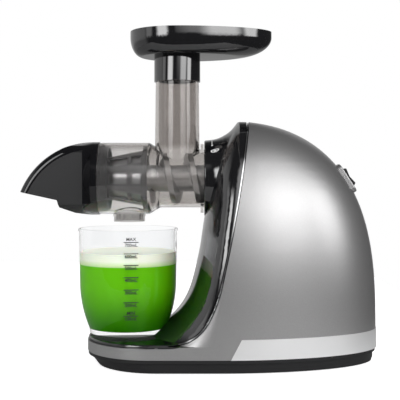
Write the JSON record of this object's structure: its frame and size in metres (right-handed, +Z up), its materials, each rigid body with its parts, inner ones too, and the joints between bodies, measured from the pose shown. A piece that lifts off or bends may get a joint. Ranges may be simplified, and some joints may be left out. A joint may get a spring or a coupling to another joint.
{
  "type": "cold press juicer",
  "caption": "Horizontal slow juicer: egg-shaped feed tray on a clear drum with auger and strainer, pulp nose, juice cup and a domed motor housing.",
  "frame": {"origin": "on the table under the middle of the overall box, on the mirror plane", "axes": "+X from the pulp nose to the motor housing along the drum axis, +Z up, +Y away from the viewer of the side view"},
  "size_m": [0.3833, 0.1688, 0.356],
  "materials": {
    "housing_grey": "metallic lacquer",
    "panel_black": "high gloss",
    "bright_trim": "bright plating",
    "band_silver": "silver lacquer",
    "base_dark": "fine texture",
    "rubber_black": "matte",
    "steel_screw": "zinc plated",
    "drum_clear": "clear, slightly smoky",
    "strainer_smoke": "smoky",
    "screen_steel": "perforated sheet",
    "auger_grey": "satin",
    "seal_silicone": "translucent silicone",
    "nose_black": "satin with a glossy rim",
    "cup_clear": "clear",
    "gear_case": "glass-filled nylon",
    "gear_nylon": "natural acetal",
    "shaft_steel": "ground",
    "bush_bronze": "sintered bronze",
    "laminations": "stacked sheet",
    "coil_copper": "enamelled copper wire",
    "motor_alloy": "die cast",
    "cradle_steel": "galvanised",
    "switch_black": "satin gloss",
    "board_green": "solder mask",
    "capacitor_white": "plain can"
  },
  "bodies": {
    "housing": {"shell": "housing_grey", "front_panel": "panel_black", "seam_trim": "bright_trim", "rear_band": "band_silver", "base_plate": "base_dark", "feet": "rubber_black", "base_screws": "steel_screw", "gearbox_case": "gear_case", "gearbox_cover": "gear_case", "gearbox_screws": "steel_screw", "output_bushes": "bush_bronze", "shaft_seal": "rubber_black", "layshaft_bushes": "bush_bronze", "stator_core": "laminations", "stator_coils": "coil_copper", "motor_front_bell": "motor_alloy", "motor_rear_bell": "motor_alloy", "motor_bearings": "shaft_steel", "motor_cradle": "cradle_steel", "switch_bezel": "switch_black", "switch_terminals": "bush_bronze", "circuit_board": "board_green", "run_capacitor": "capacitor_white", "cord_grommet": "rubber_black"},
    "rocker": {"switch_rocker": "switch_black"},
    "output_drive": {"output_gear": "gear_nylon", "output_shaft": "shaft_steel"},
    "layshaft_set": {"layshaft": "shaft_steel", "layshaft_pinion": "shaft_steel", "layshaft_gear": "gear_nylon"},
    "motor_rotor": {"motor_pinion": "shaft_steel", "motor_shaft": "shaft_steel", "rotor_core": "laminations", "cooling_fan": "gear_nylon"},
    "auger_set": {"auger": "auger_grey", "auger_hex": "shaft_steel", "auger_seal": "seal_silicone"},
    "drum_set": {"drum": "drum_clear", "drum_seal": "seal_silicone", "strainer_frame": "strainer_smoke", "strainer_screen": "screen_steel"},
    "pulp_nose": {"end_cap": "nose_black"},
    "hopper": {"hopper_tray": "panel_black"},
    "juice_cup": {"cup": "cup_clear"}
  },
  "joints": [
    {"name": "output_spin", "type": "hinge", "parent": "housing", "child": "output_drive", "pos_m": [0.045, 0, 0.1968], "axis": [1, 0, 0], "continuous": true},
    {"name": "layshaft_spin", "type": "hinge", "parent": "housing", "child": "layshaft_set", "pos_m": [0.05, 0, 0.15305], "axis": [1, 0, 0], "continuous": true},
    {"name": "motor_spin", "type": "hinge", "parent": "housing", "child": "motor_rotor", "pos_m": [0.1, 0, 0.11805], "axis": [1, 0, 0], "continuous": true},
    {"name": "auger_spin", "type": "hinge", "parent": "housing", "child": "auger_set", "pos_m": [-0.045, 0, 0.1968], "axis": [1, 0, 0], "continuous": true},
    {"name": "drum_bayonet", "type": "hinge", "parent": "housing", "child": "drum_set", "pos_m": [0.011, 0, 0.1968], "axis": [1, 0, 0], "range_deg": [0, 40]},
    {"name": "nose_bayonet", "type": "hinge", "parent": "drum_set", "child": "pulp_nose", "pos_m": [-0.104, 0, 0.1968], "axis": [1, 0, 0], "range_deg": [0, 30]},
    {"name": "hopper_lift", "type": "slide", "parent": "drum_set", "child": "hopper", "axis": [0, 0, 1], "range_m": [0, 0.045]},
    {"name": "cup_pull", "type": "slide", "parent": "housing", "child": "juice_cup", "axis": [-1, 0, 0], "range_m": [0, 0.13]},
    {"name": "switch_tilt", "type": "hinge", "parent": "housing", "child": "rocker", "pos_m": [0.15782, 0, 0.19595], "axis": [0, 1, 0], "range_deg": [-10, 10]}
  ],
  "couplings": [
    {"joint": "layshaft_spin", "follows": "output_spin", "ratio": -4},
    {"joint": "motor_spin", "follows": "output_spin", "ratio": 16},
    {"joint": "auger_spin", "follows": "output_spin", "ratio": 1}
  ]
}
